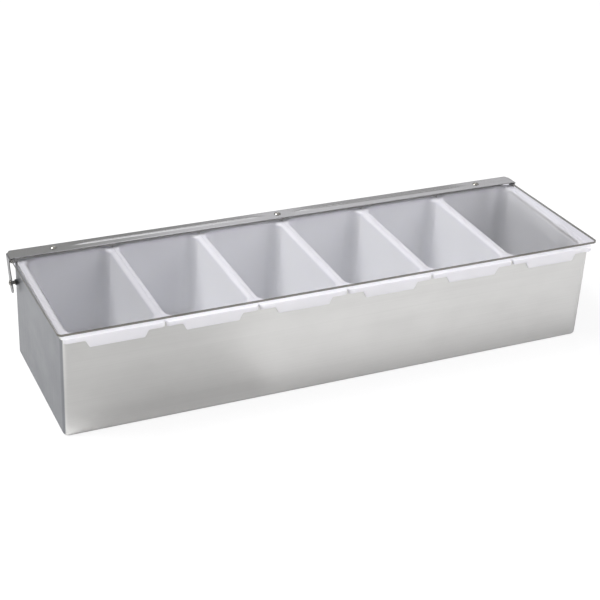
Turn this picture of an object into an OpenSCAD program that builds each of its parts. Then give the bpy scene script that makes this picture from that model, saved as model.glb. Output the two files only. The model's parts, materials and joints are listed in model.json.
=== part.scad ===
// Condiment caddy: a folded steel tray, six lift-out plastic bins and one clear lid
// that hinges on a steel strap along the back. Millimetres, +Z up. The origin is the
// centre of the tray's base, +X runs along the length and +Y towards the hinge.

/* [Tray] */
// Outside length of the tray
tray_l = 470; // [380:1:560]
// Outside depth of the tray, front to back
tray_w = 135; // [110:1:170]
// Height of the tray's rim above the floor
tray_h = 86.5; // [80:0.5:120]
// Thickness of the sheet steel, also of the hinge strap
sheet = 0.8; // [0.6:0.1:1.2]
// Depth of the folded hem inside the rim
hem_h = 7; // [4:0.5:8]
// Outside radius of the two front upright corners
front_corner_r = 5; // [3:0.5:8]
// Outside radius of the two rear upright corners
rear_corner_r = 2; // [1.5:0.25:2.5]
// Outside radius of the fold round the base
base_edge_r = 3; // [2:0.5:5]

/* [Bins] */
// Thickness of the bins' plastic
bin_t = 1.5; // [1:0.1:2]
// Depth of a bin, from its rim to the underside of its floor
bin_depth = 76; // [50:1:78]
// Lean of a bin's walls from upright, in degrees
bin_draft = 3; // [1:0.5:5]
// Radius of the inside upright corners of a bin
bin_corner_r = 10; // [6:0.5:14]
// Radius of the inside fold round a bin's floor
bin_floor_r = 7; // [3:0.5:9]
// Width of the rim along a bin's two sides
side_rim = 4.1; // [3.5:0.1:6]
// Distance from the tray's front face to a bin's mouth
front_rim = 6; // [5.5:0.1:9]
// Gap between a bin's rear wall and the tray's hem, just under the rim
rear_gap = 0.4; // [0.3:0.1:3]
// Radius of the rim's two outer corners at the front
rim_front_r = 3.5; // [2:0.5:7]
// Radius of the rim's two outer corners at the rear
rim_rear_r = 5.5; // [3:0.5:7]
// Depth of the lip that hooks over the front of the tray
lip_h = 4.2; // [3:0.1:6]
// Depth of the turned-down edge along a bin's sides
side_lip_h = 3; // [2:0.1:5]
// Free length left in the tray when all bins are in
row_play = 3.3; // [1:0.1:6]
// Gap between neighbouring bins
bin_gap = 0.3; // [0.2:0.05:0.8]

/* [Finger tabs] */
// Width of a finger tab where it leaves the lip
tab_top_w = 50.5; // [30:0.5:55]
// Width of a finger tab at its lower edge
tab_low_w = 42.8; // [20:0.5:48]
// Drop of the finger tab below the lip
tab_h = 6; // [4:0.5:15]
// Radius of the finger tab's lower corners
tab_corner_r = 2; // [1:0.25:3]

/* [Lid] */
// Thickness of the clear panel
panel_t = 2; // [1.5:0.1:3]
// Reach of the panel past the tray's front face
panel_front = 7.6; // [5:0.1:12]
// Reach of the panel past each end of the tray
panel_side = 2; // [1:0.1:3]
// Radius of the panel's front corners
panel_corner_r = 4; // [2:0.5:10]
// Radius of the panel's rear corners
panel_rear_r = 2; // [1:0.5:3]
// Gap between the closed panel and the bins' rims
panel_gap = 1.1; // [1:0.05:2]
// How far the lid stands open at rest, in degrees
rest_open = 2; // [0:0.1:30]

/* [Hinge] */
// Depth of the pivot below the tray's rim
pivot_drop = 16.5; // [14:0.5:18]
// Width of the strap's top face
strap_w = 16.5; // [15:0.5:20]
// Reach of the strap past the tray's rear face
strap_back = 11; // [10:0.5:14]
// Height of the strap's turned-down rear edge
strap_drop = 12; // [8:0.5:12]
// Gap between the tray's end and the strap's ear
ear_gap = 4.4; // [3.5:0.1:6]
// Width of the ear where it leaves the strap
ear_top_w = 9; // [8:0.5:12]
// Radius of the ear's rounded end
ear_r = 4; // [3.5:0.1:6]
// Distance from the pivot to the centre of the ear's rounded end
ear_tail = 4.5; // [0:0.5:8]
// Radius of the pivot pins' shanks
pin_r = 1.5; // [1.2:0.05:2]
// Radius of the pivot pins' domed heads
pin_head_r = 2.6; // [2.4:0.1:4]
// Radius of the washers under the pins' closed ends
pin_washer_r = 3; // [2.8:0.1:3.5]
// Length of the spacer between the tray and the ear
spacer_l = 1.6; // [1:0.1:2.4]
// Outside radius of the spacer
spacer_r = 2.4; // [2.2:0.1:3]

/* [Strap rivets] */
// Distance from each end of the tray to the outer rivets
rivet_inset = 33.6; // [20:0.5:80]
// Radius of the rivets' shanks
rivet_r = 1.5; // [1.2:0.05:2]
// Radius of the rivets' domed heads
rivet_head_r = 3; // [2.5:0.1:4]
// Height of a domed head on a rivet or a pin
dome_h = 1.5; // [1:0.1:2]
// Radius of the washers under the panel
rivet_washer_r = 2.8; // [2.4:0.1:3]
// Radius of the closed end of a rivet or a pin
tail_r = 2; // [1.8:0.1:2.3]
// Length of the closed end of a rivet or a pin
tail_h = 1; // [0.6:0.1:1.2]
// Thickness of every washer
washer_t = 0.8; // [0.5:0.1:1]

/* [Fits] */
// Radial play of a shank in its hole
pin_play = 0.05; // [0.02:0.01:0.1]
// Gap under a bin's rim where it hangs on the tray
seat_gap = 0.1; // [0.05:0.05:0.3]
// Side play of the pivot pins, and gap between the last bin and the tray
end_play = 0.2; // [0.1:0.05:0.3]
// Gap between the tray's front face and the lip in front of it
lip_gap = 0.25; // [0.2:0.05:0.5]

/* [Hidden] */

bin_count = 6;
arc_steps = 8;
smooth = 48;
hull_fn = 32;
// How far a cutting shape runs past the face that it cuts, and how far two cutting
// shapes run into each other
cut = 1;
skim = 0.01;
// The least corner radius that is left on a narrow ring
least_r = 0.3;

steel_colour = [0.76, 0.76, 0.75];
strap_colour = [0.66, 0.67, 0.67];
rivet_colour = [0.80, 0.79, 0.76];
plastic_colour = [0.94, 0.94, 0.97];
clear_colour = [0.88, 0.93, 0.94, 0.35];

// The hem doubles the sheet at the rim, and the bins fit between the hems
hem_t = 2 * sheet;
row_l = tray_l - 2 * hem_t - row_play;
bin_l = (row_l - (bin_count - 1) * bin_gap) / bin_count;
bin_pitch = bin_l + bin_gap;
row_centre = (row_play - 2 * end_play) / 2;
mouth_l = bin_l - 2 * side_rim;
rear_rim = hem_t + rear_gap + bin_t;
mouth_w = tray_w - front_rim - rear_rim;
mouth_y = (front_rim - rear_rim) / 2;
rim_z = tray_h + seat_gap + bin_t;
rim_rear = tray_w / 2 - lip_gap;
lip_face = tray_w / 2 + lip_gap + bin_t;

// The pivot sits where the tray's end is still flat inside its rear corner
pivot_y = tray_w / 2 - rear_corner_r - pin_washer_r;
pivot_z = tray_h - pivot_drop;

// The closed lid, from the bins' rims upwards
panel_z = rim_z + panel_gap;
strap_z = panel_z + panel_t;
strap_rear = tray_w / 2 + strap_back;
strap_front = strap_rear - strap_w;
strap_mid = (strap_rear + strap_front) / 2;
fold_r = 2 * sheet;
ear_x = tray_l / 2 + ear_gap;
rivet_x = tray_l / 2 - rivet_inset;
panel_l = tray_l + 2 * panel_side;
panel_rear = strap_rear - sheet - end_play - panel_rear_r / 2;
panel_w = panel_rear + tray_w / 2 + panel_front;

// ---------- shapes used by several pieces ----------

// One closed ring of points: a rectangle with its own front and rear corner radii
function ring(l, w, front_r, rear_r, z) = [
    for (corner = [0:3], step = [0:arc_steps])
        let (
            turn = 90 * (corner + step / arc_steps),
            r = corner < 2 ? rear_r : front_r,
            side = corner == 0 || corner == 3 ? 1 : -1,
            end = corner < 2 ? 1 : -1
        )
        [side * (l / 2 - r) + r * cos(turn), end * (w / 2 - r) + r * sin(turn), z]
];

// A solid skinned over a stack of rings, lowest first
module skin(rings) {
    n = len(rings[0]);
    last = len(rings) - 1;
    polyhedron(
        points = [for (one = rings) each one],
        faces = [
            [for (i = [0:n - 1]) i],
            [for (i = [n - 1:-1:0]) last * n + i],
            for (j = [0:last - 1], i = [0:n - 1])
                [j * n + i, (j + 1) * n + i, (j + 1) * n + (i + 1) % n, j * n + (i + 1) % n]
        ]
    );
}

// A box whose upright corners and floor edge are rounded, drawn in by draft below
// its top. Its floor is at floor_z and its top, of size l by w, at top_z.
module tub(l, w, front_r, rear_r, edge_r, floor_z, top_z, draft = 0) {
    function inset(z) = (top_z - z) * tan(draft);
    function at(z, extra) = ring(
        l - 2 * (inset(z) + extra), w - 2 * (inset(z) + extra),
        max(front_r - extra, least_r), max(rear_r - extra, least_r), z);
    skin([
        for (step = [0:arc_steps - 2])
            let (turn = 90 * step / (arc_steps - 2))
            at(floor_z + edge_r * (1 - cos(turn)), edge_r * (1 - sin(turn))),
        at(top_z, 0)
    ]);
}

// A plate with rounded corners, centred on X and Y
module plate(l, w, front_r, rear_r, z, t) {
    skin([ring(l, w, front_r, rear_r, z), ring(l, w, front_r, rear_r, z + t)]);
}

// A headed fastener on the Z axis: domed head above z = 0, shank of length grip
// below it and a closed end under that
module fastener(shank_r, head_r, grip) {
    ball_r = (head_r * head_r + dome_h * dome_h) / (2 * dome_h);
    intersection() {
        translate([0, 0, dome_h - ball_r]) sphere(r = ball_r, $fn = smooth);
        cylinder(r = head_r, h = dome_h, $fn = smooth);
    }
    translate([0, 0, -grip]) cylinder(r = shank_r, h = grip, $fn = smooth);
    translate([0, 0, -grip - tail_h]) cylinder(r = tail_r, h = tail_h, $fn = smooth);
}

// A ring with a hole for a shank, from z = 0 upwards
module washer(outer_r, shank_r, t) {
    difference() {
        cylinder(r = outer_r, h = t, $fn = smooth);
        translate([0, 0, -cut]) cylinder(r = shank_r + pin_play, h = t + 2 * cut, $fn = smooth);
    }
}

// Puts a shape made on the Z axis on the pivot axis, pointing out of the tray's end,
// with z = 0 at distance x from the middle
module on_pivot(side, x) {
    translate([side * x, pivot_y, pivot_z]) rotate([0, side * 90, 0]) children();
}

// Tips the closed lid open about the pivot axis
module opened() {
    translate([0, pivot_y, pivot_z])
        rotate([-rest_open, 0, 0])
            translate([0, -pivot_y, -pivot_z])
                children();
}

// ---------- tray ----------

module tray_body() {
    color(steel_colour)
    difference() {
        tub(tray_l, tray_w, front_corner_r, rear_corner_r, base_edge_r, 0, tray_h);
        tub(tray_l - 2 * sheet, tray_w - 2 * sheet, front_corner_r - sheet,
            rear_corner_r - sheet, base_edge_r - sheet, sheet, tray_h - hem_h);
        plate(tray_l - 2 * hem_t, tray_w - 2 * hem_t, front_corner_r - hem_t,
            max(rear_corner_r - hem_t, least_r), tray_h - hem_h - cut, hem_h + 2 * cut);
        translate([-tray_l, pivot_y, pivot_z])
            rotate([0, 90, 0])
                cylinder(r = pin_r + pin_play, h = 2 * tray_l, $fn = smooth);
    }
}

// ---------- bins ----------

// The outline of a bin's rim, from its top down by t
module rim_slab(t) {
    translate([0, (rim_rear - lip_face) / 2, 0])
        plate(bin_l, rim_rear + lip_face, rim_front_r, rim_rear_r, rim_z - t, t);
}

// The rim is a flat flange all round the mouth, hooked over the tray's front
module bin_rim() {
    difference() {
        rim_slab(bin_t);
        translate([0, mouth_y, 0])
            plate(mouth_l, mouth_w, bin_corner_r, bin_corner_r, rim_z - bin_t - cut, bin_t + 2 * cut);
    }
}

// The lip in front of the tray, with the finger tab below it
module bin_lip() {
    lip_low = rim_z - lip_h;
    intersection() {
        rim_slab(lip_h);
        translate([-bin_l / 2, -lip_face, lip_low]) cube([bin_l, bin_t, lip_h]);
    }
    translate([0, -lip_face + bin_t, 0]) rotate([90, 0, 0]) linear_extrude(bin_t)
        hull() {
            translate([-tab_top_w / 2, lip_low]) square([tab_top_w, lip_h / 2]);
            for (side = [-1, 1])
                translate([side * (tab_low_w / 2 - tab_corner_r), lip_low - tab_h + tab_corner_r])
                    circle(r = tab_corner_r, $fn = hull_fn);
        }
}

// The turned-down edges along the two sides, inside the tray's hems
module side_lips() {
    lip_w = tray_w - 2 * hem_t - 2 * max(rim_front_r, rim_rear_r);
    for (side = [-1, 1])
        translate([side * (bin_l - bin_t) / 2 - bin_t / 2, -lip_w / 2, rim_z - side_lip_h])
            cube([bin_t, lip_w, side_lip_h]);
}

module bin(place) {
    outer_l = mouth_l + 2 * bin_t;
    outer_w = mouth_w + 2 * bin_t;
    outer_r = bin_corner_r + bin_t;
    color(plastic_colour)
    translate([row_centre + (place - (bin_count + 1) / 2) * bin_pitch, 0, 0]) {
        difference() {
            union() {
                translate([0, mouth_y, 0])
                    tub(outer_l, outer_w, outer_r, outer_r, bin_floor_r + bin_t,
                        rim_z - bin_depth, rim_z - bin_t / 2, bin_draft);
                bin_rim();
            }
            translate([0, mouth_y, 0]) {
                tub(mouth_l, mouth_w, bin_corner_r, bin_corner_r, bin_floor_r,
                    rim_z - bin_depth + bin_t, rim_z, bin_draft);
                plate(mouth_l, mouth_w, bin_corner_r, bin_corner_r, rim_z - skim, cut);
            }
        }
        bin_lip();
        side_lips();
    }
}

// ---------- hinge pins ----------

module pivot_pin(side) {
    head_x = ear_x + sheet + end_play;
    tail_x = tray_l / 2 - sheet - end_play / 2 - washer_t;
    color(rivet_colour) on_pivot(side, head_x) fastener(pin_r, pin_head_r, head_x - tail_x);
}

module pivot_spacer(side) {
    color(strap_colour) on_pivot(side, tray_l / 2 + end_play / 2) washer(spacer_r, pin_r, spacer_l);
}

module pivot_washer(side) {
    color(rivet_colour)
    on_pivot(side, tray_l / 2 - sheet - end_play / 2 - washer_t) washer(pin_washer_r, pin_r, washer_t);
}

// ---------- lid ----------

module lid_panel() {
    color(clear_colour)
    opened()
    difference() {
        translate([0, panel_rear - panel_w / 2, 0])
            plate(panel_l, panel_w, panel_corner_r, panel_rear_r, panel_z, panel_t);
        for (place = [-1, 0, 1])
            translate([place * rivet_x, strap_mid, panel_z - cut])
                cylinder(r = rivet_r + pin_play, h = panel_t + 2 * cut, $fn = smooth);
    }
}

// A quarter of a tube on the Z axis, in the corner where X and Y are positive
module fold(length) {
    intersection() {
        difference() {
            cylinder(r = fold_r, h = length, $fn = smooth);
            translate([0, 0, -cut]) cylinder(r = fold_r - sheet, h = length + 2 * cut, $fn = smooth);
        }
        cube([fold_r, fold_r, length]);
    }
}

// Outline of an ear, with the tray's Y along X and its Z along Y: an arm that slants
// forward from the rear of the strap to a rounded end past the pivot
module ear_outline() {
    ear_rear = strap_rear - fold_r;
    lean = atan2(ear_rear - ear_top_w / 2 - pivot_y, strap_z - pivot_z);
    hull() {
        translate([ear_rear - ear_top_w, strap_z - sheet]) square([ear_top_w, sheet]);
        translate([pivot_y, pivot_z]) circle(r = ear_r, $fn = hull_fn);
        translate([pivot_y, pivot_z]) rotate(-lean) translate([0, -ear_tail]) circle(r = ear_r, $fn = hull_fn);
    }
}

module hinge_strap() {
    flat_l = 2 * (ear_x + sheet - fold_r);
    flat_rear = strap_rear - fold_r;
    drop_l = flat_l - 2 * fold_r;
    color(strap_colour)
    opened()
    difference() {
        union() {
            translate([-flat_l / 2, strap_front, strap_z]) cube([flat_l, flat_rear - strap_front, sheet]);
            // turned-down rear edge and its fold
            translate([-drop_l / 2, flat_rear, strap_z + sheet - fold_r])
                rotate([90, 0, 90]) fold(drop_l);
            translate([-drop_l / 2, strap_rear - sheet, strap_z + sheet - strap_drop])
                cube([drop_l, sheet, strap_drop - fold_r]);
            // ears and their folds
            for (side = [0, 1]) mirror([side, 0, 0]) {
                translate([flat_l / 2, flat_rear, strap_z + sheet - fold_r])
                    rotate([90, 0, 0]) fold(flat_rear - strap_front);
                translate([ear_x, 0, 0]) rotate([90, 0, 90]) linear_extrude(sheet) ear_outline();
            }
        }
        translate([-tray_l, pivot_y, pivot_z])
            rotate([0, 90, 0])
                cylinder(r = pin_r + pin_play, h = 2 * tray_l, $fn = smooth);
        for (place = [-1, 0, 1])
            translate([place * rivet_x, strap_mid, strap_z - cut])
                cylinder(r = rivet_r + pin_play, h = sheet + 2 * cut, $fn = smooth);
    }
}

module strap_rivet(place) {
    color(rivet_colour)
    opened()
    translate([place * rivet_x, strap_mid, strap_z + sheet])
        fastener(rivet_r, rivet_head_r, sheet + panel_t + washer_t);
}

module strap_washer(place) {
    color(rivet_colour)
    opened()
    translate([place * rivet_x, strap_mid, panel_z - washer_t]) washer(rivet_washer_r, rivet_r, washer_t);
}

// ---------- the pieces ----------

tray_body();
bin(1);  // bin_1
bin(2);  // bin_2
bin(3);  // bin_3
bin(4);  // bin_4
bin(5);  // bin_5
bin(6);  // bin_6
pivot_pin(-1);  // pivot_pin_left
pivot_pin(1);  // pivot_pin_right
pivot_spacer(-1);  // pivot_spacer_left
pivot_spacer(1);  // pivot_spacer_right
pivot_washer(-1);  // pivot_washer_left
pivot_washer(1);  // pivot_washer_right
lid_panel();
hinge_strap();
strap_rivet(-1);  // strap_rivet_left
strap_rivet(0);  // strap_rivet_centre
strap_rivet(1);  // strap_rivet_right
strap_washer(-1);  // strap_washer_left
strap_washer(0);  // strap_washer_centre
strap_washer(1);  // strap_washer_right
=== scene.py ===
"""Condiment caddy: a folded steel tray, six lift-out white bins and one clear lid on a
steel hinge strap. Every piece is a surface worked out from the frame's boxes and the
sizes in the property groups below, in metres: +X along the length, +Y towards the hinge,
+Z up."""

import json
import math

import bpy
import numpy as np
from mathutils import Matrix, Vector

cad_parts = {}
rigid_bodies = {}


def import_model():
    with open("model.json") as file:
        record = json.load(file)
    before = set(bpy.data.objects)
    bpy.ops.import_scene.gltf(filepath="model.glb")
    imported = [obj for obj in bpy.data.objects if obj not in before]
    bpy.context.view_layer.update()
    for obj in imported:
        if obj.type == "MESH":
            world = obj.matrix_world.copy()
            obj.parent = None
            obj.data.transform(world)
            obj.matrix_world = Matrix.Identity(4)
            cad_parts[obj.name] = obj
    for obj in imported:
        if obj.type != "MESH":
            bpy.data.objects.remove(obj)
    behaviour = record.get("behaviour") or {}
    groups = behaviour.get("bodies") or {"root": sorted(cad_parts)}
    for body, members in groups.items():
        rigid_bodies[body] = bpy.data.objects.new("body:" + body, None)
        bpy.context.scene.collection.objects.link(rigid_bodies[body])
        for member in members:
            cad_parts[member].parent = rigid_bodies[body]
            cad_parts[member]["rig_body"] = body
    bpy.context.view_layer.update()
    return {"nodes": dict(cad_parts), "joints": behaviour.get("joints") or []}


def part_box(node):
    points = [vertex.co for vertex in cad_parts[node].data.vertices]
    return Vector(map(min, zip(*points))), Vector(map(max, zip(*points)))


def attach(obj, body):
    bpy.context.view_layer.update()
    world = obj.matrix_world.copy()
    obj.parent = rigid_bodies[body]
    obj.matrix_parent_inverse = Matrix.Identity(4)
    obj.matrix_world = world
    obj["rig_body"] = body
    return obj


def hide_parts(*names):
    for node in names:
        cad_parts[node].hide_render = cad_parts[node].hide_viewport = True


bl_info = {
    "name": "Condiment Caddy",
    "version": (1, 0, 0),
    "blender": (4, 5, 0),
    "location": "View3D > Sidebar > Caddy",
    "description": "Builds a steel condiment caddy with six white bins and a clear hinged lid",
    "category": "Add Mesh",
}

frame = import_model()

MM = 0.001
BIN_COUNT = 6
# The smallest radius that a rounded corner keeps
LEAST = 0.3 * MM
# How far a ring of points stands off a fold, so that the flat beside it stays flat
HOLD = 0.5 * MM
# Noise that is as fine along every axis
EVEN = (1.0, 1.0, 1.0)
WHITE = (1.0, 1.0, 1.0, 1.0)
# The pale grey in which the surroundings show through the clear pane
BEHIND_PANE = (0.76, 0.75, 0.81, 1.0)


def measured(node):
    """Lowest corner, highest corner and size of a node of the frame, as arrays."""
    low, high = (np.array(corner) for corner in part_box(node))
    return low, high, high - low


TRAY_LOW, TRAY_HIGH, TRAY_SIZE = measured("tray_body")
HINGE = frame["joints"][0]
PIVOT = np.array(HINGE["pos_m"], float)
REST_OPEN = -HINGE["range_deg"][0]


# ---------- sizes and colours ----------


def distance(name, description, millimetres):
    """A size in metres with its default in millimetres."""
    return bpy.props.FloatProperty(
        name=name, description=description, default=millimetres * MM,
        min=0.0, precision=4, unit="LENGTH", subtype="DISTANCE")


def paint(name, description, colour):
    return bpy.props.FloatVectorProperty(
        name=name, description=description, default=colour,
        min=0.0, max=1.0, size=3, subtype="COLOR")


class CaddyTraySizes(bpy.types.PropertyGroup):
    sheet: distance("Sheet", "Thickness of the sheet steel", 0.8)
    hem: distance("Hem", "Depth of the hem folded inside the rim", 7.0)
    front_corner: distance("Front corner", "Radius of the front upright corners", 5.0)
    rear_corner: distance("Rear corner", "Radius of the rear upright corners", 2.0)
    base_edge: distance("Base edge", "Radius of the fold round the base", 3.0)


class CaddyBinSizes(bpy.types.PropertyGroup):
    wall: distance("Wall", "Thickness of the plastic", 1.5)
    side_rim: distance("Side rim", "Width of the rim along a bin's two sides", 4.1)
    front_rim: distance("Front rim", "From the tray's front face to the mouth", 6.0)
    rear_rim: distance("Rear rim", "From the tray's rear face to the mouth", 3.5)
    rim_front: distance("Front rim corner", "Radius of the rim's front corners", 3.5)
    rim_rear: distance("Rear rim corner", "Radius of the rim's rear corners", 5.5)
    rim_edge: distance("Rim edge", "Radius of the rim's outer edge", 0.3)
    mouth_corner: distance("Mouth corner", "Radius of the mouth's corners", 10.0)
    mouth_edge: distance("Mouth edge", "Radius from the rim into the bin", 2.5)
    end_roll: distance("End roll", "The same radius on the outer side of an end bin", 5.0)
    neck: distance("Neck", "Radius between the wall and the rim's underside", 0.5)
    floor_edge: distance("Floor edge", "Radius of the fold round the floor", 4.5)
    lip_gap: distance("Lip gap", "Gap between the lip and the tray's front face", 0.25)
    lip: distance("Lip", "Depth of the lip in front of the tray", 4.2)
    side_lip: distance("Side lip", "Depth of the turned-down edge along the sides", 3.0)
    end_reach: distance("End reach", "How far an end bin's rim lies over the tray's end", 3.6)
    end_edge: distance("End edge", "Radius of the rim's edge over the tray's end", 0.5)
    tab_top: distance("Tab top", "Width of the finger tab at the lip", 50.5)
    tab_low: distance("Tab low", "Width of the finger tab at its lower edge", 42.8)
    tab_drop: distance("Tab drop", "Drop of the finger tab below the lip", 6.0)
    draft: bpy.props.FloatProperty(
        name="Draft", description="Lean of the walls from upright",
        default=math.radians(3.0), min=0.0, subtype="ANGLE")


class CaddyLidSizes(bpy.types.PropertyGroup):
    pane_corner: distance("Pane corner", "Radius of the pane's front corners", 4.0)
    pane_rear: distance("Pane rear", "Radius of the pane's rear corners", 2.0)
    pane_left: distance("Pane left", "How much further the pane reaches on the left", 2.0)
    fold: distance("Fold", "Outside radius of the strap's folds", 1.6)
    strap_width: distance("Strap", "Width of the strap's top face", 16.5)
    strap_drop: distance("Drop", "Height of the strap's turned-down rear edge", 12.0)
    strap_corner: distance("Strap corner", "Radius of the strap's rear corners", 3.0)
    strap_ridge: distance("Ridge", "Rise of the ridge along the strap", 0.9)
    ear_top: distance("Ear top", "Width of the ear where it leaves the strap", 9.0)
    ear_end: distance("Ear end", "Radius of the ear's rounded end", 4.0)
    ear_tail: distance("Ear tail", "From the pivot to the rounded end's centre", 4.5)
    head: distance("Rivet head", "Radius of the rivets' domed heads", 3.0)
    dome: distance("Dome", "Height of a domed head", 1.5)
    shank: distance("Shank", "Radius of the shanks of rivets and pins", 1.5)
    tail: distance("Closed end", "Radius of the closed end of a rivet or a pin", 2.0)
    tail_height: distance("End length", "Length of the closed end", 1.0)


class CaddyFinish(bpy.types.PropertyGroup):
    tray_colour: paint("Tray steel", "Colour of the tray", (0.68, 0.677, 0.66))
    # Painted shade: the strap's steel is made darker than the tray's same steel
    strap_shade_colour: paint("Strap steel", "Colour of the hinge strap", (0.30, 0.298, 0.296))
    # Painted shade: the strap's inside and the pivot spacers are made near black
    inner_shade_colour: paint("Strap inside", "Colour of the strap's unpolished side", (0.10, 0.10, 0.10))
    rivet_colour: paint("Rivets", "Colour of rivets, pins and washers", (0.27, 0.26, 0.24))
    plastic_colour: paint("Bins", "Colour of the bins' plastic", (0.888, 0.893, 0.914))
    # Painted light: the rims' and lips' lavender stands in for the lamps' colour
    painted_rim_light: paint("Rims", "Colour of the bins' rims and lips", (0.88, 0.868, 0.935))
    clear_colour: paint("Lid", "Tint of the clear pane", (0.92, 0.92, 0.925))
    edge_colour: paint("Lid edge", "Colour in the pane's edges", (0.13, 0.12, 0.095))


def sizes(group):
    """The values of one property group, as they stand on the scene."""
    return getattr(bpy.context.scene, group)


def grey(level):
    return (level, level, level, 1.0)


# ---------- surfaces ----------


def arc(start, end, steps):
    """Angles from start to end in degrees, both included, as radians."""
    return np.radians(np.linspace(start, end, steps + 1))


def smooth_step(x):
    """0 below 0, 1 above 1 and 3x^2 - 2x^3 between."""
    x = np.clip(x, 0.0, 1.0)
    return x * x * (3 - 2 * x)


def rectangle_path(front_cuts):
    """A rounded rectangle with no size yet, counter-clockwise from the front left.
    Each column has a side (x, y), from -1 to 1, and a turn (x, y): its outward normal.
    A point is side * (half size - r) + turn * r. front_cuts are sides on the front run."""
    arc_steps = 10
    side_cuts = np.array([-0.98, -0.5, 0.0, 0.5, 0.98])
    corners = [(1, -1), (1, 1), (-1, 1), (-1, -1)]
    headings = [(1, 0), (0, 1), (-1, 0), (0, -1)]
    sides, turns = [], []
    for k, (corner, heading) in enumerate(zip(corners, headings)):
        cuts = front_cuts if k == 0 else side_cuts
        out = (heading[1], -heading[0])
        run = np.outer(cuts, heading) + np.array(out)
        angle = arc(90 * k - 90, 90 * k, arc_steps)
        sides += [run, np.tile(corner, (arc_steps + 1, 1))]
        turns += [np.tile(out, (len(cuts), 1)), np.stack([np.cos(angle), np.sin(angle)], 1)]
    return np.concatenate(sides).astype(float), np.concatenate(turns).astype(float)


def carry(path, low, high, front_r, rear_r, z):
    """The path sized at every row: a grid of points (rows, columns, 3). low and high are
    the rectangle's corners (x, y) and front_r and rear_r its radii at each row; z is the
    height at each row, or at each row and column."""
    def by_row(values, dimensions=1):
        values = np.asarray(values, float)
        return values[:, None] if values.ndim == dimensions else values

    side, turn = path
    low, high = by_row(low, 2), by_row(high, 2)
    front_r, rear_r, z = by_row(front_r), by_row(rear_r), by_row(z)
    radius = np.where(side[:, 1] < 0, front_r, rear_r)
    middle, half = (low + high) / 2, (high - low) / 2
    x = middle[..., 0] + side[:, 0] * (half[..., 0] - radius) + turn[:, 0] * radius
    y = middle[..., 1] + side[:, 1] * (half[..., 1] - radius) + turn[:, 1] * radius
    x, y, z = np.broadcast_arrays(x, y, z)
    return np.stack([x, y, z], -1)


def grid_faces(rows, columns, wrap):
    """Four corners of every cell of a grid, as indices. With wrap the last column joins
    the first. A cell faces along (next column) x (next row)."""
    across = columns if wrap else columns - 1
    row, column = np.meshgrid(np.arange(rows - 1), np.arange(across), indexing="ij")
    after = (column + 1) % columns
    corners = [row * columns + column, row * columns + after,
               (row + 1) * columns + after, (row + 1) * columns + column]
    return np.stack(corners, -1)


def new_piece(name, points, faces, smooth_angle=35.0):
    """A mesh object at the origin with merged doubles, smooth up to smooth_angle."""
    mesh = bpy.data.meshes.new(name)
    mesh.from_pydata(points.reshape(-1, 3).tolist(), [], faces)
    mesh.update()
    piece = bpy.data.objects.new(name, mesh)
    bpy.context.scene.collection.objects.link(piece)
    settle(piece, smooth_angle)
    return piece


def flat_sheet(name, low, high):
    """A rectangle between two corners in millimetres that share their x or their z."""
    along = int(low[0] == high[0])
    corners = np.array([low, low, high, high], float)
    corners[1, along] = high[along]
    corners[3, along] = low[along]
    return new_piece(name, corners * MM, [[0, 1, 2, 3]])


def settle(piece, smooth_angle):
    """Bakes the piece's modifiers into its mesh, merges doubles and sets its shading."""
    weld = piece.modifiers.new("weld", "WELD")
    weld.merge_threshold = 1e-6
    graph = bpy.context.evaluated_depsgraph_get()
    mesh = bpy.data.meshes.new_from_object(piece.evaluated_get(graph))
    piece.modifiers.clear()
    old = piece.data
    mesh.name = old.name
    piece.data = mesh
    bpy.data.meshes.remove(old)
    mesh.shade_smooth()
    mesh.set_sharp_from_angle(angle=math.radians(smooth_angle))


def shell(name, grid, smooth_angle=35.0):
    """A closed piece from rings of points: cells between the rings and one flat face
    across the first and the last ring."""
    rows, columns = grid.shape[:2]
    faces = grid_faces(rows, columns, True).reshape(-1, 4).tolist()
    faces.append(list(range(columns))[::-1])
    faces.append(list(range((rows - 1) * columns, rows * columns)))
    return new_piece(name, grid, faces, smooth_angle)


def turned(profile):
    """A profile of (radius, height) turned round the Z axis: (r cos a, r sin a, h)."""
    radius, height = np.asarray(profile, float).T
    columns = 48
    angle = np.linspace(0, 2 * math.pi, columns, endpoint=False)
    ring = np.stack([np.cos(angle), np.sin(angle), np.zeros_like(angle)], -1)
    return radius[:, None, None] * ring + height[:, None, None] * np.array([0.0, 0.0, 1.0])


def opened(points, degrees=REST_OPEN):
    """The closed lid's points turned open about the hinge: (y, z) turns by -degrees."""
    angle = math.radians(-degrees)
    y, z = points[..., 1] - PIVOT[1], points[..., 2] - PIVOT[2]
    result = np.array(points, float)
    result[..., 1] = PIVOT[1] + y * math.cos(angle) - z * math.sin(angle)
    result[..., 2] = PIVOT[2] + y * math.sin(angle) + z * math.cos(angle)
    return result


def measured_closed(node):
    """Lowest and highest corner of a node of the lid once the lid is closed."""
    points = np.zeros(len(frame["nodes"][node].data.vertices) * 3)
    frame["nodes"][node].data.vertices.foreach_get("co", points)
    shut = opened(points.reshape(-1, 3), -REST_OPEN)
    return shut.min(0), shut.max(0)


def stands_for(piece, node, slot, materials):
    """The piece replaces a node of the frame, rides on its body and gets its finish."""
    for material in materials:
        piece.data.materials.append(material)
    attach(piece, frame["nodes"][node]["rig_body"])
    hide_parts(node)


# ---------- shader sums ----------


class Socket:
    """An output of a shader node that takes part in Python sums."""

    def __init__(self, finish, socket):
        self.finish = finish
        self.socket = socket

    def _math(self, operation, *values):
        return self.finish.add("Math", {"operation": operation},
                               dict(enumerate(values)))

    def __add__(self, other):
        return self._math("ADD", self, other)

    def __mul__(self, other):
        return self._math("MULTIPLY", self, other)

    def __rsub__(self, other):
        return self._math("SUBTRACT", other, self)

    def __pow__(self, other):
        return self._math("POWER", self, other)

    def largest(self, other):
        return self._math("MAXIMUM", self, other)


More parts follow.
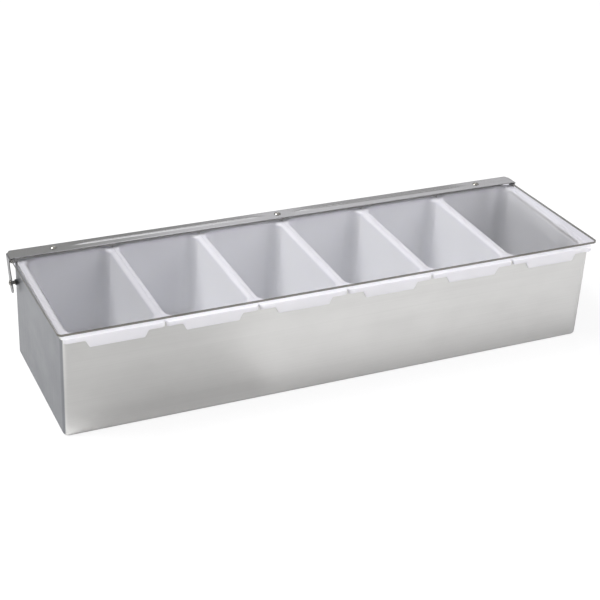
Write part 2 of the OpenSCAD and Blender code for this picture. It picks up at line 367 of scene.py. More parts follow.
class Finish:
    """A material, or a world, and the nodes that make it."""

    def __init__(self, name, world=None):
        self.material = world or bpy.data.materials.new(name)
        self.material.use_nodes = True
        self.tree = self.material.node_tree
        self.tree.nodes.clear()

    def add(self, kind, settings=None, inputs=None, output=0):
        """Adds a node: its settings first, then values or links for its sockets."""
        node = self.tree.nodes.new("ShaderNode" + kind)
        for name, value in (settings or {}).items():
            setattr(node, name, value)
        for name, value in (inputs or {}).items():
            socket = self.find(node.inputs, name)
            if isinstance(value, Socket):
                self.tree.links.new(value.socket, socket)
            else:
                socket.default_value = value
        return Socket(self, self.find(node.outputs, output)) if node.outputs else None

    def several(self, kind, names, inputs=None):
        """Adds a node and gives several of its outputs."""
        outputs = self.add(kind, inputs=inputs).socket.node.outputs
        return [Socket(self, outputs[name]) for name in names]

    @staticmethod
    def find(sockets, name):
        """A socket by its number, its identifier or its name."""
        if isinstance(name, int):
            return sockets[name]
        return next((s for s in sockets if s.identifier == name), None) or sockets[name]

    def outlook(self):
        """Whether the camera or a clear thing looks, and the colour that it sees in the
        surroundings: white, or pale grey through the pane."""
        camera, clear, panes = self.several("LightPath", (
            "Is Camera Ray", "Is Transmission Ray", "Transparent Depth"))
        return camera.largest(clear), self.blend(panes, WHITE, BEHIND_PANE)

    def noise(self, squeeze, scale, detail, roughness):
        """Noise over the object, finer along each axis by squeeze."""
        where = self.add("TexCoord", output="Object")
        where = self.add("Mapping", inputs={"Vector": where, "Scale": squeeze})
        return self.add("TexNoise", inputs={
            "Vector": where, "Scale": scale, "Detail": detail, "Roughness": roughness})

    def band(self, value, low, high, to_low=0.0, to_high=1.0):
        """The value mapped from low..high to to_low..to_high, and held at the ends."""
        return self.add("MapRange", inputs={
            0: value, 1: low, 2: high, 3: to_low, 4: to_high})

    def blend(self, factor, first, second):
        return self.add("Mix", {"data_type": "RGBA"}, {
            "Factor_Float": factor, "A_Color": first, "B_Color": second}, "Result_Color")

    def sideways(self):
        """The share of the surface's normal that points along X."""
        normal = self.add("NewGeometry", output="Normal")
        return self.add("SeparateXYZ", inputs={0: normal}, output="X")

    def tinted(self, colour, factor, share):
        """The colour made darker by up to share where the factor is low."""
        dark = tuple(c * (1 - share) for c in colour)
        return self.blend(factor, (*dark, 1.0), (*colour, 1.0))

    def bump(self, height, strength, depth):
        return self.add("Bump", inputs={
            "Height": height, "Strength": strength, "Distance": depth})

    def principled(self, **inputs):
        named = {key.replace("_", " ").title(): value for key, value in inputs.items()}
        return self.add("BsdfPrincipled", inputs=named)

    def done(self, shader):
        self.add("OutputMaterial", inputs={"Surface": shader})
        return self.material


def brushed_steel(name, colour, roughness):
    """Steel brushed along its length: long fine streaks, drawn upright on the two ends,
    over soft clouds of duller metal. The two ends get a painted shade, darker and bluer."""
    steel = Finish(name)
    fine, end_shade_share, worn = 900.0, (0.33, 0.34, 0.37), 0.07
    along = steel.noise((5.0, fine, fine), 1.0, 3.0, 0.6)
    upright = steel.noise((fine, fine, 8.0), 1.0, 3.0, 0.6)
    sideways = steel.sideways()
    on_end = steel.band(sideways * sideways, 0.4, 0.6)
    streaks = along * (1 - on_end) + upright * on_end
    bands = steel.noise((3.0, 60.0, 60.0), 1.0, 2.0, 0.5)
    clouds = steel.noise((1.0, 1.0, 1.6), 22.0, 3.0, 0.55)
    wear = steel.band(streaks * 0.3 + bands * 0.25 + clouds * 0.45, 0.35, 0.65)
    # Painted shade: the same steel made darker and bluer on the two ends
    painted_end_shade = tuple(c * share for c, share in zip(colour, end_shade_share))
    side_colour = steel.tinted(colour, wear, worn)
    end_shade_colour = steel.tinted(painted_end_shade, wear, worn)
    return steel.done(steel.principled(
        base_color=steel.blend(on_end, side_colour, end_shade_colour),
        metallic=1.0,
        roughness=steel.band(wear, 0.0, 1.0, roughness + 0.05, roughness - 0.04),
        normal=steel.bump(streaks, 0.08, 0.1 * MM)))


def dull_steel(name, colour):
    """The unpolished inner side of the sheet: blotched and nearly without gloss, in the
    given grey, which on the strap is near black as a painted shade.
    """
    metal = Finish(name)
    grain = metal.noise((30.0, 900.0, 900.0), 1.0, 3.0, 0.6)
    blotches = metal.noise(EVEN, 120.0, 3.0, 0.5)
    wear = metal.band(grain * 0.4 + blotches * 0.6, 0.35, 0.65)
    return metal.done(metal.principled(
        base_color=metal.tinted(colour, wear, 0.25),
        metallic=0.8,
        roughness=metal.band(wear, 0.0, 1.0, 0.62, 0.5),
        normal=metal.bump(grain, 0.1, 0.1 * MM)))


def nickel(name, colour):
    """Plated steel: smooth, with faint rubbing marks and duller patches."""
    metal = Finish(name)
    rubbed = metal.noise(EVEN, 1400.0, 3.0, 0.6)
    patches = metal.noise(EVEN, 300.0, 2.0, 0.5)
    wear = metal.band(rubbed * 0.5 + patches * 0.5, 0.35, 0.65)
    return metal.done(metal.principled(
        base_color=metal.tinted(colour, wear, 0.18),
        metallic=1.0,
        roughness=metal.band(wear, 0.0, 1.0, 0.24, 0.15),
        normal=metal.bump(rubbed, 0.08, 0.05 * MM)))


def moulded_plastic(name, colour, painted_rim_light):
    """White moulded plastic: a fine mould texture, slightly uneven gloss and tint, and
    light let a little way into the wall. A painted lavender light tint takes over within
    crown of the top and from near in front of the tray's face: on the rims and the lips."""
    plastic = Finish(name)
    pebble = plastic.noise(EVEN, 2600.0, 2.0, 0.5)
    flow = plastic.noise((1.0, 1.0, 0.4), 30.0, 3.0, 0.5)
    rubbed = plastic.noise((60.0, 60.0, 900.0), 1.0, 2.0, 0.5)
    even = plastic.band(flow, 0.3, 0.7)
    where = plastic.add("TexCoord", output="Object")
    y, z = plastic.several("SeparateXYZ", ("Y", "Z"), {0: where})
    top, crown = TRAY_HIGH[2], 4 * MM
    face, near = TRAY_LOW[1], 1 * MM
    # Painted light: rims and lips get a lavender tint standing in for the lamps' colour
    painted_light_mask = plastic.band(z, top - crown, top).largest(plastic.band(y, face + near, face))
    uneven = 0.03
    wall_tint = plastic.tinted(colour, even, uneven)
    lavender_light_tint = plastic.tinted(painted_rim_light, even, uneven)
    return plastic.done(plastic.principled(
        base_color=plastic.blend(painted_light_mask, wall_tint, lavender_light_tint),
        roughness=plastic.band(rubbed * 0.5 + flow * 0.5, 0.35, 0.65, 0.34, 0.44),
        normal=plastic.bump(pebble, 0.03, 0.03 * MM),
        subsurface_weight=1.0,
        subsurface_radius=(1.0, 1.0, 1.05),
        subsurface_scale=3.0 * MM))


def clear_face(name, tint):
    """The pane's faces: clear, with fine rubbing marks. The share of light that they
    mirror is 0.45 f^5, where f goes from 0 face on to 1 at a glancing angle, and 0.012
    to 0.02 more by the marks."""
    pane = Finish(name)
    marks = pane.noise((40.0, 500.0, 40.0), 1.0, 3.0, 0.6)
    glancing = pane.add("LayerWeight", inputs={"Blend": 0.5}, output="Facing")
    gloss = glancing ** 5.0 * 0.45 + pane.band(marks, 0.45, 0.75, 0.012, 0.02)
    shine = pane.principled(
        base_color=(0.95, 0.95, 0.95, 1.0), metallic=1.0,
        roughness=pane.band(marks, 0.4, 0.6, 0.04, 0.10))
    clear = pane.add("BsdfTransparent", inputs={"Color": (*tint, 1.0)})
    return pane.done(pane.add("MixShader", inputs={0: gloss, 1: clear, 2: shine}))


def clear_edge(name, colour):
    """The pane's sawn edges: dark, where the plastic is seen lengthwise, and painted paler
    and clearer on the right end, as painted light."""
    edge = Finish(name)
    to_right = edge.sideways()
    # Painted light: the right end's edge is made paler and more see-through
    painted_right_lift = 0.3
    pale = tuple(c + painted_right_lift for c in colour)
    saw = edge.noise((300.0, 300.0, 1500.0), 1.0, 2.0, 0.5)
    depth = edge.noise(EVEN, 60.0, 2.0, 0.5)
    return edge.done(edge.principled(
        base_color=edge.blend(edge.band(to_right, 0.4, 0.9), edge.tinted(colour, depth, 0.3),
                              edge.tinted(pale, depth, 0.3)),
        roughness=edge.band(saw, 0.3, 0.7, 0.25, 0.45),
        alpha=edge.band(to_right, 0.4, 0.9, 0.88, 0.32)))


def plain_finish(name, kind, level):
    """One shader in a grey: Diffuse for a card, or Transparent for a net that lets that
    share of the light through."""
    plain = Finish(name)
    return plain.done(plain.add(kind, inputs={"Color": grey(level)}))


def floor_finish(name, shade):
    """A floor of one shade that the camera sees as white, or pale grey through the pane:
    a glow, with a share of the light that falls on it, so that its shadows stay."""
    floor = Finish(name)
    shadow_share, glow = 0.20, 0.82
    seen, colour = floor.outlook()
    plain = floor.add("BsdfDiffuse", inputs={"Color": grey(shade)})
    thin = floor.add("BsdfDiffuse", inputs={"Color": grey(shadow_share)})
    light = floor.add("Emission", inputs={"Color": colour, "Strength": glow})
    pale = floor.add("AddShader", inputs={0: thin, 1: light})
    return floor.done(floor.add("MixShader", inputs={0: seen, 1: plain, 2: pale}))


# ---------- operators ----------


class CADDY_OT_stage(bpy.types.Operator):
    """Adds the floor, the surroundings, the camera, the lamps, the nets and the card"""

    bl_idname = "caddy.stage"
    bl_label = "Stage"

    # The camera's place, its azimuth, angle down and roll in degrees, and its lens and
    # sensor in millimetres, for a square picture
    camera_place = (-0.47216, -0.95713, 0.63346)
    camera_turns = (25.88, 28.99, 3.19)
    lens, sensor = 85.63, 36.0
    # The world's light on the object, and how bright metal sees it at the horizon
    ambient, horizon = 0.4, 0.45
    floor_reach, floor_shade = 6000.0, 0.8
    # Name, place in metres, side, watts and colour of each lamp
    lamps = (
        ("key", (-1.1, 0.5, 1.65), 1.0, 42.0, (1.0, 1.0, 1.0)),
        ("overhead", (0.6, 1.6, 2.0), 0.9, 6.0, (0.97, 0.98, 1.0)),
        ("back", (0.95, 1.7, 1.1), 0.9, 2.4, (0.98, 0.985, 1.0)),
        ("fill", (1.1, -1.75, 1.3), 1.6, 25.0, (0.97, 0.96, 1.0)),
    )
    # Name, lowest and highest corner in millimetres, and share of light let by, of the
    # nets that dim the last bin's far wall, the first bin and the first bin's rim
    nets = (
        ("far net", (212, -62, 20), (212, 66, 100), 0.56),
        ("near net", (-235, -64, 104), (-160, 70, 104), 0.79),
        ("rim net", (-241, -72, 90), (-241, 72, 100), 0.3),
    )
    # Corners in millimetres and shade of the card on the floor
    card_low, card_high, card_shade = (-320, -420, 1), (-60, -80, 1), 0.53

    def execute(self, context):
        scene = context.scene
        scene.view_settings.view_transform = "Standard"
        self.add_floor()
        self.add_world(scene)
        self.add_camera(scene)
        for lamp in self.lamps:
            self.add_lamp(scene, *lamp)
        for net in self.nets:
            self.add_net(*net)
        self.add_card()
        return {"FINISHED"}

    def add_floor(self):
        reach = self.floor_reach
        floor = flat_sheet("floor", (-reach, -reach, 0), (reach, reach, 0))
        floor.data.materials.append(floor_finish("pale floor", self.floor_shade))

    def add_net(self, name, low, high, share):
        """A net at the bins that the camera, metal and clear things don't see."""
        net = flat_sheet(name, low, high)
        net.data.materials.append(plain_finish(name, "BsdfTransparent", share))
        net.visible_camera = net.visible_glossy = net.visible_transmission = False

    def add_card(self):
        """A dark card on the floor before the tray's left half, that only metal mirrors."""
        card = flat_sheet("card", self.card_low, self.card_high)
        card.data.materials.append(plain_finish("dark card", "BsdfDiffuse", self.card_shade))
        card.visible_camera = card.visible_diffuse = card.visible_transmission = False
        card.visible_shadow = False

    def add_world(self, scene):
        """White where the camera and clear things look, or pale grey through the pane,
        from grey at the horizon to white overhead where metal looks, and softer where it
        lights."""
        studio = Finish("studio", bpy.data.worlds.new("studio"))
        seen, colour = studio.outlook()
        where = studio.add("TexCoord", output="Generated")
        height = studio.add("SeparateXYZ", inputs={0: where}, output="Z")
        glossy = studio.add("LightPath", output="Is Glossy Ray")
        mirrored = glossy * studio.band(height, 0.0, 0.9, self.horizon, 1.0)
        level = seen.largest(mirrored).largest(self.ambient)
        sky = studio.add("Background", inputs={"Color": colour, "Strength": level})
        studio.add("OutputWorld", inputs={"Surface": sky})
        scene.world = studio.material

    def add_camera(self, scene):
        """Turns the camera by its roll, its angle down and its azimuth from +Y."""
        data = bpy.data.cameras.new("camera")
        data.sensor_width = self.sensor
        data.lens = self.lens
        camera = bpy.data.objects.new("camera", data)
        scene.collection.objects.link(camera)
        azimuth, down, roll = map(math.radians, self.camera_turns)
        camera.matrix_world = (
            Matrix.Translation(self.camera_place) @ Matrix.Rotation(-azimuth, 4, "Z")
            @ Matrix.Rotation(math.pi / 2 - down, 4, "X") @ Matrix.Rotation(roll, 4, "Z"))
        scene.camera = camera

    def add_lamp(self, scene, name, place, size, power, colour):
        """A square soft lamp that faces the origin, in the middle of the tray's base."""
        data = bpy.data.lights.new(name, "AREA")
        data.size = size
        data.energy = power
        data.color = colour
        lamp = bpy.data.objects.new(name, data)
        scene.collection.objects.link(lamp)
        lamp.location = place
        lamp.rotation_euler = (-Vector(place)).to_track_quat("-Z", "Y").to_euler()


class CADDY_OT_tray(bpy.types.Operator):
    """Builds the folded steel tray with its hem"""

    bl_idname = "caddy.tray"
    bl_label = "Tray"

    def execute(self, context):
        size = sizes("caddy_tray")
        inset, z = self.profile(size, TRAY_SIZE[2])
        low = TRAY_LOW[:2] + inset[:, None]
        high = TRAY_HIGH[:2] - inset[:, None]
        path = rectangle_path(np.linspace(-0.995, 0.995, 9))
        grid = carry(path, low, high, np.maximum(size.front_corner - inset, LEAST),
                     np.maximum(size.rear_corner - inset, LEAST), z)
        tray = shell("tray_shell", grid)
        steel = brushed_steel("brushed tray steel", sizes("caddy_finish").tray_colour, 0.42)
        stands_for(tray, "tray_body", "tray_steel", [steel])
        return {"FINISHED"}

    def profile(self, size, height):
        """Distance in from the outer face, and height, from the middle of the underside
        out, round the base edge, up, over the hem's half round, down inside it and to
        the middle of the floor."""
        sheet, edge = size.sheet, size.base_edge
        inner = edge - sheet
        quarter, half = arc(0, 90, 8), arc(0, 180, 12)
        back = quarter[::-1]
        flat = edge + 6 * MM
        hem_low = height - size.hem
        ease, slit = 0.1 * MM, 0.02 * MM
        parts = [
            ([flat, edge + HOLD], [0, 0]),
            (edge * (1 - np.sin(quarter)), edge * (1 - np.cos(quarter))),
            ([0, 0, 0], [edge + HOLD, height / 2, height - sheet - HOLD]),
            (sheet * (1 - np.cos(half)), height - sheet + sheet * np.sin(half)),
            ([2 * sheet, 2 * sheet], [height - sheet - HOLD, hem_low + ease]),
            ([2 * sheet - ease, sheet + ease], [hem_low, hem_low]),
            ([sheet + slit, sheet, sheet], [hem_low + 4 * ease, hem_low - 3 * ease, edge + HOLD]),
            (sheet + inner * (1 - np.sin(back)), sheet + inner * (1 - np.cos(back))),
            ([edge + HOLD, flat], [sheet, sheet]),
        ]
        inset = np.concatenate([np.asarray(first, float) for first, _ in parts])
        z = np.concatenate([np.asarray(second, float) for _, second in parts])
        return inset, z


class CADDY_OT_bins(bpy.types.Operator):
    """Builds the six white bins"""

    bl_idname = "caddy.bins"
    bl_label = "Bins"

    def execute(self, context):
        size = sizes("caddy_bins")
        finish = sizes("caddy_finish")
        plastic = moulded_plastic("moulded white plastic", finish.plastic_colour, finish.painted_rim_light)
        for number in range(1, BIN_COUNT + 1):
            node = f"bin_{number}"
            low, high, _ = measured(node)
            outer = {1: -1, BIN_COUNT: 1}.get(number, 0)
            piece = shell(f"bin_shell_{number}", self.surface(size, low, high, outer), 50.0)
            stands_for(piece, node, "bin_plastic", [plastic])
        return {"FINISHED"}

    def drop(self, size, x, y, front, over_end):
        """Depth of the rim's turned-down edge at each column: the lip and the finger tab
        in front of the tray, the side lip along the straight of both sides, and the
        wall's thickness elsewhere and over the tray's end. The tab is a trapezoid with
        eased corners: smooth_step(0.86 d + 0.07) times its drop, where d is the distance
        in from its slanting side as a share of the slant's width."""
        slant = (size.tab_top - size.tab_low) / 2
        tab = smooth_step(0.86 * (size.tab_top / 2 - np.abs(x)) / slant + 0.07) * size.tab_drop
        clear, ease = 2 * MM, 3 * MM
        straight = TRAY_SIZE[1] / 2 - size.rim_rear - clear
        side = smooth_step((straight - np.abs(y)) / ease) * ~over_end
        return np.where(front, size.lip + tab, size.wall + (size.side_lip - size.wall) * side)

    def columns(self, size, half_run, outer):
        """The rim's path, with close columns over the tab's slants, and for each column
        whether it is over the tray's end, how much further out the rim lies there, the
        radius of its edge and what the mouth's edge has on top of its own radius. outer
        is the side of an end bin, -1 left or 1 right, or 0."""
        tab_x = np.linspace(0, size.tab_top / 2 + 1 * MM, 64)
        slants = tab_x[tab_x > 15 * MM] / half_run
        cuts = np.concatenate([slants, [0.9, 0.97]])
        path = rectangle_path(np.concatenate([-cuts[::-1], [-0.2, 0.2], cuts]))
        side, turn = path
        over_end = side[:, 0] * outer > 0.999
        outward = over_end * smooth_step(np.abs(turn[:, 0]))
        rounding = size.rim_edge + outward * (size.end_edge - size.rim_edge)
        roll_more = outward * (size.end_roll - size.mouth_edge)
        return path, over_end, over_end * outer * size.end_reach, rounding, roll_more

    def surface(self, size, low, high, outer):
        """The bin's skin as rings, from the middle of its underside out and up its wall,
        out under the rim, down inside the lip, up outside it, across the rim, over the
        mouth's edge, down the inner wall and to the middle of the floor. A fold's rings
        go by past = 1 - cos a, from 0 to 1, and ahead = 1 - sin a, from 1 to 0."""
        wall, edge, neck, over = size.wall, size.rim_edge, size.neck, size.mouth_edge
        rim_z, base_z = high[2], low[2]
        half_run = (high[0] - low[0]) / 2 - size.rim_front
        path, over_end, reach, rounding, roll_more = self.columns(size, half_run, outer)
        closer = np.array([0.1 * MM, 0.0])
        rim_low, rim_high = low[:2] - closer, high[:2] + closer
        mouth_low = np.array([low[0] + size.side_rim, TRAY_LOW[1] + size.front_rim])
        mouth_high = np.array([high[0] - size.side_rim, TRAY_HIGH[1] - size.rear_rim])
        lip_back = TRAY_LOW[1] - size.lip_gap
        land = rim_high[1] - mouth_high[1] - wall - neck - 0.1 * MM
        rows = []

        def rim(inset, z):
            """A ring drawn in from the rim's outline, at the rear by no more than its land."""
            inner = np.array([inset, min(inset, land)])
            ring = carry(path, rim_low + inset, rim_high - inner, max(size.rim_front - inset, LEAST),
                         max(size.rim_rear - inset, LEAST), np.broadcast_to(z, (1, len(path[0]))))[0]
            ring[:, 0] += reach
            rows.append(ring)
            return ring

        def mouth(inset, z, radius):
            """A ring drawn in from the mouth's outline."""
            rows.append(carry(path, mouth_low + inset, mouth_high - inset, radius, radius, [z])[0])

        def tub(outside, z, extra):
            """A ring of the wall: the mouth's outline leant in by the draft, then drawn
            out by outside and in by extra, of which its corners lose 0.6."""
            inset = (rim_z - z) * math.tan(size.draft) + extra - outside
            mouth(inset, z, size.mouth_corner + outside - extra * 0.6)

        outline = rim(0, rim_z)
        rows.clear()
        front = outline[:, 1] < lip_back
        middle = (low + high) / 2
        drop = self.drop(size, outline[:, 0] - middle[0], outline[:, 1], front, over_end)
        lower = rim_z - drop
        hang = drop - wall
        soft = 0.35 * MM
        fold = [(1 - math.cos(turn), 1 - math.sin(turn)) for turn in arc(0, 90, 7)]

        flat = 8 * MM
        floor_r = size.floor_edge + wall
        tub(wall, base_z, floor_r + flat)
        tub(wall, base_z, floor_r + HOLD)
        for past, ahead in fold:
            tub(wall, base_z + floor_r * past, floor_r * ahead)
        tub(wall, base_z + floor_r + HOLD, 0)
        tub(wall, rim_z - wall - neck - HOLD, 0)
        for past, ahead in fold[1:]:
            tub(wall + neck * past, rim_z - wall - neck * ahead, 0)
        lip_start = len(rows)
        rim(wall + LEAST, rim_z - wall)
        for share in (0.0, 0.5, 1.0):
            rim(wall, rim_z - wall - np.maximum(hang - soft, 0) * share)
        for past, ahead in fold[1:]:
            rim(wall - soft * past, lower + np.minimum(soft, hang) * ahead)
        for inside in rows[lip_start:]:
            inside[:, 1] = np.where(front, np.minimum(inside[:, 1], lip_back), inside[:, 1])
        for past, ahead in fold[::-1]:
            rim(soft * ahead, lower + soft * past)
        rim(0, (lower + rim_z - rounding) / 2)
        for past, ahead in fold:
            rim(edge * past, rim_z - rounding * ahead)
            rows[-1][:, :2] -= path[1] * ((rounding - edge) * past)[:, None]
        for past, ahead in fold:
            mouth(-over * ahead, rim_z - over * past, size.mouth_corner + over * ahead)
            rows[-1][:, :2] += path[1] * (roll_more * ahead)[:, None]
            rows[-1][:, 2] -= roll_more * past
        floor_z = base_z + wall
        tub(0, rim_z - size.end_roll - 2 * HOLD, 0)
        tub(0, floor_z + size.floor_edge + HOLD, 0)
        for past, ahead in fold[::-1]:
            tub(0, floor_z + size.floor_edge * past, size.floor_edge * ahead)
        tub(0, floor_z, size.floor_edge + HOLD)
        tub(0, floor_z, size.floor_edge + flat)
        return np.stack(rows)


def tangent_edge(z, circles, side):
    """Y of the edge, at each height z, of the convex outline round circles (y, z, r): the
    nearest to the middle of all the tangent lines on that side, -1 front or 1 rear."""
    angle = np.radians(np.linspace(-89.5, 89.5, 720))
    normal_y, normal_z = side * np.cos(angle), np.sin(angle)
    reach = np.max([normal_y * y + normal_z * h + r for y, h, r in circles], axis=0)
    lines = (reach[:, None] - normal_z[:, None] * z[None]) / normal_y[:, None]
    return lines.min(0) if side > 0 else lines.max(0)


class CADDY_OT_strap(bpy.types.Operator):
    """Builds the hinge strap with its turned-down rear edge and its two ears"""

    bl_idname = "caddy.strap"
    bl_label = "Hinge strap"

    def execute(self, context):
        size = sizes("caddy_lid")
        points, faces = self.sheet(size, lid_levels(size))
        strap = new_piece("strap_shell", opened(points), faces)
        thicken = strap.modifiers.new("thickness", "SOLIDIFY")
        thicken.thickness = sizes("caddy_tray").sheet
        thicken.offset = -1.0
        thicken.use_even_offset = True
        thicken.material_offset = 1
        thicken.material_offset_rim = 2
        bevel = strap.modifiers.new("edges", "BEVEL")
        bevel.width = 0.18 * MM
        bevel.segments = 2
        bevel.limit_method = "ANGLE"
        bevel.angle_limit = math.radians(50)
        settle(strap, 35.0)
        finish = sizes("caddy_finish")
        # The strap's darker colour is a painted shade on the tray's steel
        steel = brushed_steel("painted shade strap steel", finish.strap_shade_colour, 0.22)
        stands_for(strap, "hinge_strap", "strap_steel", [
            steel,
            dull_steel("strap inside", finish.inner_shade_colour),
            brushed_steel("sheared strap edge", finish.tray_colour, 0.35)])
        return {"FINISHED"}

    def columns(self, size, level):
        """x, z and the y of the front and the rear edge at each column along the strap:
        up one ear, round the fold, along the top and down the other ear. The ears' edges
        are tangents of the circles round the pivot and the tail."""
        top, fold, flat_half = level["top"], size.fold, level["flat_half"]
        straight_half = flat_half - size.strap_corner
        rear_flat = level["rear"] - fold
        lean = math.atan2(rear_flat - size.ear_top / 2 - PIVOT[1], top - PIVOT[2])
        tail_y = PIVOT[1] - size.ear_tail * math.sin(lean)
        tail_z = PIVOT[2] - size.ear_tail * math.cos(lean)
        turn = arc(0, 90, 6)
        rivet_x, near_rivet = level["rivet_x"], 45 * MM
        along = np.concatenate([np.linspace(0, rivet_x - near_rivet, 24)[:-1],
                                np.linspace(rivet_x - near_rivet, straight_half, 40)[:-1],
                                flat_half - size.strap_corner * np.cos(turn)[:-1],
                                [level["drop_half"]]])
        along = np.unique(np.concatenate([along, near_rivet * np.linspace(0, 1, 16)]))
        down = np.concatenate([np.linspace(top - fold, tail_z, 16)[1:],
                               tail_z - size.ear_end * np.sin(arc(0, 90, 8))[1:]])
        x = np.concatenate([along, flat_half + fold * np.sin(turn),
                            np.full(len(down), flat_half + fold)])
        z = np.concatenate([np.full(len(along), top), top - fold * (1 - np.cos(turn)), down])
        beyond = np.clip((x - straight_half) / size.strap_corner, 0, 1)
        rear = rear_flat - size.strap_corner * (1 - np.sqrt(1 - beyond ** 2))
        circles = [(PIVOT[1], PIVOT[2], size.ear_end), (tail_y, tail_z, size.ear_end),
                   (rear_flat - size.ear_top, top, 0.0), (rear_flat - size.strap_corner, top, 0.0)]
        ear = z < top - 0.2 * MM
        sweep = fold + 7 * MM
        into_ear = smooth_step((top - z) / sweep)
        front_y = level["front"] + into_ear * (tangent_edge(z, circles, -1) - level["front"])
        rear_y = np.where(ear, tangent_edge(z, circles, 1), rear)
        front_y[-1] = rear_y[-1] = tail_y
        return [np.concatenate([sign * a[::-1], a[1:]])
                for sign, a in ((-1, x), (1, z), (1, front_y), (1, rear_y))]

    def sheet(self, size, level):
        """The strap's outer face as one grid. Rows run from the front edge to the rear,
        at y = front + share (rear - front), and along the top they go on round the rear
        fold and down."""
        top, fold, drop_half = level["top"], size.fold, level["drop_half"]
        x, z, front_y, rear_y = self.columns(size, level)
        steps = np.linspace(-1, 1, 37)[:, None]
        share = 0.5 + 0.5 * np.sign(steps) * np.abs(steps) ** 1.6
        y_top = front_y + share * (rear_y - front_y)
        ridge = self.ridge(x, share * 2 - 1, level["rivet_x"]) * size.strap_ridge
        z_top = z + ridge * (np.abs(x) < level["flat_half"])
        bend = arc(0, 90, 6)[1:, None]
        y_fold = rear_y + fold * np.sin(bend)
        z_fold = z - fold * (1 - np.cos(bend))
        corner = 2 * MM
        past = np.clip((np.abs(x) - (drop_half - corner)) / corner, 0, 1)
        low_edge = top - size.strap_drop + corner * (1 - np.sqrt(1 - past ** 2))
        drop_share = np.linspace(0, 1, 6)[1:, None]
        z_drop = (top - fold) + drop_share * (low_edge - (top - fold))
        y_drop = np.broadcast_to(rear_y + fold, z_drop.shape)
        y_all = np.concatenate([y_top, y_fold, y_drop])
        z_all = np.concatenate([z_top, z_fold, z_drop])
        points = np.stack([np.broadcast_to(x, y_all.shape), y_all, z_all], -1)
        cells = grid_faces(*y_all.shape, False)
        middle_x = np.abs((x[1:] + x[:-1]) / 2)
        kept = np.ones(cells.shape[:2], bool)
        kept[len(share) - 1:, middle_x > drop_half] = False
        numbers, faces = np.unique(cells[kept], return_inverse=True)
        return points.reshape(-1, 3)[numbers], faces.reshape(-1, 4).tolist()

    def ridge(self, x, across, rivet_x):
        """Height of the ridge along the strap, from 0 to 1, where across is -1 at the
        front and 1 at the rear: half a blunt roof over the whole width and half a narrow
        bead exp(-(across / bead_width)^2) on its crest. It flattens near each rivet and
        beyond the outer two."""
        blunt, bead_width = 0.15, 0.14
        plain, slope = 6 * MM, 30 * MM
        roof = 1 - (np.sqrt(across ** 2 + blunt ** 2) - blunt) / (math.sqrt(1 + blunt ** 2) - blunt)
        bead = np.exp(-(across / bead_width) ** 2)
        away = np.minimum(np.abs(x), rivet_x - np.abs(x))
        return (0.5 * roof + 0.5 * bead) * smooth_step((away - plain) / slope)


def lid_levels(size):
    """Places on the closed lid: the strap's top, rear and front, half the length of its
    flat top and of its turned-down edge, and the middle of its right rivet."""
    low, high = measured_closed("hinge_strap")
    return {
        "top": high[2],
        "rear": high[1],
        "front": high[1] - size.strap_width,
        "flat_half": high[0] - size.fold,
        "drop_half": high[0] - 2 * size.fold,
        "rivet_x": measured_closed("strap_rivet_right")[0][0] + size.head,
    }


class CADDY_OT_pane(bpy.types.Operator):
    """Builds the clear pane of the lid"""

    bl_idname = "caddy.pane"
    bl_label = "Clear pane"

    def execute(self, context):
        size = sizes("caddy_lid")
        box_low, box_high = measured_closed("lid_panel")
        lower, upper = box_low[2], box_high[2]
        edge, flat, least = 0.3 * MM, 6 * MM, 0.5 * MM
        inset = np.array([flat, edge, 0, 0, edge, flat])
        z = np.array([lower, lower, lower + edge, upper - edge, upper, upper])
        low = box_low[:2] - [size.pane_left, 0] + inset[:, None]
        high = box_high[:2] - inset[:, None]
        path = rectangle_path(np.linspace(-0.98, 0.98, 7))
        grid = carry(path, low, high, np.maximum(size.pane_corner - inset, least),
                     np.maximum(size.pane_rear - inset, least), z)
        pane = shell("lid_pane", opened(grid), 20.0)
        finish = sizes("caddy_finish")
        stands_for(pane, "lid_panel", "clear_plastic", [
            clear_face("clear lid plastic", finish.clear_colour),
            clear_edge("clear lid edge", finish.edge_colour)])
        upright = np.zeros(len(pane.data.polygons) * 3)
        pane.data.polygons.foreach_get("normal", upright)
        on_edge = np.abs(upright.reshape(-1, 3)[:, 2]) < 0.9
        pane.data.polygons.foreach_set("material_index", on_edge.astype(np.int32))
        return {"FINISHED"}


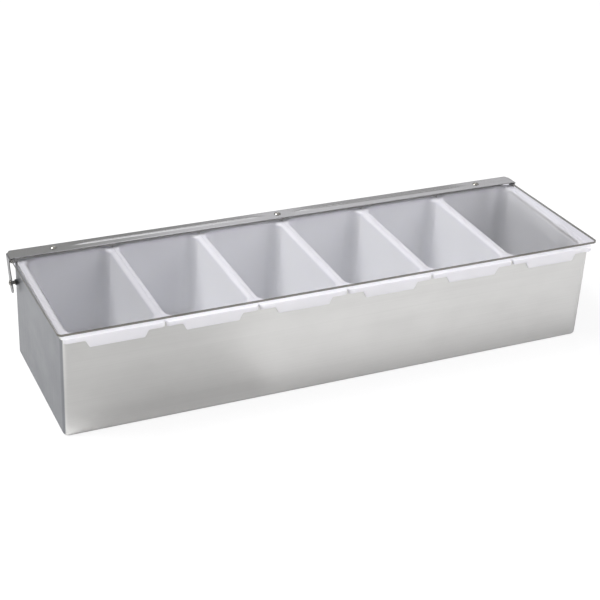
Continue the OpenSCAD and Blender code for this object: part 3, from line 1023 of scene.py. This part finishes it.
class CADDY_OT_fasteners(bpy.types.Operator):
    """Builds the rivets, the pivot pins and their washers and spacers"""

    bl_idname = "caddy.fasteners"
    bl_label = "Fasteners"

    solid_kinds = ("pin", "rivet")

    def execute(self, context):
        size, finish = sizes("caddy_lid"), sizes("caddy_finish")
        bright = ("rivet_metal", nickel("bright nickel", finish.rivet_colour))
        # The spacers' near-black colour is a painted shade
        shaded = ("strap_steel", nickel("dull spacer steel", finish.inner_shade_colour))
        for side, end in ((-1, "left"), (1, "right")):
            for kind, look in (("pin", bright), ("washer", bright), ("spacer", shaded)):
                node = f"pivot_{kind}_{end}"
                low, high, span = measured(node)
                seat = (low if side < 0 else high)[0] * side
                points = self.profile(size, kind, span[1] / 2, span[0]) + [0, 0, seat]
                placed = np.stack([side * points[..., 2], points[..., 0], side * points[..., 1]], -1)
                self.add(node, placed + [0, PIVOT[1], PIVOT[2]], kind, *look)
        for place in ("left", "centre", "right"):
            for kind in ("rivet", "washer"):
                node = f"strap_{kind}_{place}"
                low, high = measured_closed(node)
                span, middle = high - low, (low + high) / 2
                points = self.profile(size, kind, span[0] / 2, span[2]) + [*middle[:2], high[2]]
                self.add(node, opened(points), kind, *bright)
        return {"FINISHED"}

    def add(self, node, points, kind, slot, metal):
        """A solid turned piece for a rivet or a pin, and a hollow one for a ring."""
        if kind in self.solid_kinds:
            piece = shell(node + "_piece", points)
        else:
            points = np.concatenate([points, points[:1]])
            faces = grid_faces(*points.shape[:2], True).reshape(-1, 4).tolist()
            piece = new_piece(node + "_piece", points, faces)
        stands_for(piece, node, slot, [metal])

    def profile(self, size, kind, outer, length):
        """Points of a fastener that stands upright with its outer end at height 0."""
        if kind in self.solid_kinds:
            return turned(self.headed(size, outer, length))
        return turned(self.ring(outer, size.shank, length))

    def headed(self, size, head, length):
        """(radius, height) of a fastener whose dome ends at height 0: from the middle of
        its closed end out and up the shank, under the head and over a round cap, part of
        a ball, at sqrt(ball^2 - radius^2) - ball."""
        ball = (head ** 2 + size.dome ** 2) / (2 * size.dome)
        cap_start = 0.975 * head
        radius = cap_start * np.sin(arc(0, 90, 12))[::-1]
        cap = np.sqrt(ball ** 2 - radius ** 2) - ball
        edge = 0.15 * MM
        low, seat = -length, -size.dome
        grip = low + size.tail_height
        body = [(0, low), (size.tail - 2 * edge, low), (size.tail, low + 2 * edge),
                (size.tail, grip - edge), (size.tail - edge, grip), (size.shank, grip),
                (size.shank, seat), (head - edge, seat), (head, seat + edge)]
        return np.concatenate([body, np.stack([radius, cap], 1)])

    def ring(self, outer, hole, thickness):
        """(radius, height) of a washer whose top is at height 0, once round its section:
        out along the bottom, up, in along the top and down the hole."""
        edge = 0.12 * MM
        return [(hole, -thickness), (outer - edge, -thickness), (outer, edge - thickness),
                (outer, -edge), (outer - edge, 0), (hole, 0)]


GROUPS = {
    "caddy_tray": CaddyTraySizes, "caddy_bins": CaddyBinSizes,
    "caddy_lid": CaddyLidSizes, "caddy_finish": CaddyFinish,
}
OPERATORS = (
    CADDY_OT_stage, CADDY_OT_tray, CADDY_OT_bins, CADDY_OT_strap, CADDY_OT_pane,
    CADDY_OT_fasteners,
)


class CADDY_PT_panel(bpy.types.Panel):
    bl_idname = "CADDY_PT_panel"
    bl_label = "Condiment caddy"
    bl_space_type = "VIEW_3D"
    bl_region_type = "UI"
    bl_category = "Caddy"

    def draw(self, context):
        for name, group in GROUPS.items():
            box = self.layout.box()
            for item in group.__annotations__:
                box.prop(getattr(context.scene, name), item)
        for operator in OPERATORS:
            self.layout.operator(operator.bl_idname)


CLASSES = (*GROUPS.values(), *OPERATORS, CADDY_PT_panel)


def register():
    for item in CLASSES:
        bpy.utils.register_class(item)
    for name, group in GROUPS.items():
        setattr(bpy.types.Scene, name, bpy.props.PointerProperty(type=group))


def unregister():
    for name in GROUPS:
        delattr(bpy.types.Scene, name)
    for item in reversed(CLASSES):
        bpy.utils.unregister_class(item)


def main():
    register()
    bpy.ops.caddy.stage()
    bpy.ops.caddy.tray()
    bpy.ops.caddy.bins()
    bpy.ops.caddy.strap()
    bpy.ops.caddy.pane()
    bpy.ops.caddy.fasteners()


if __name__ == "__main__":
    main()
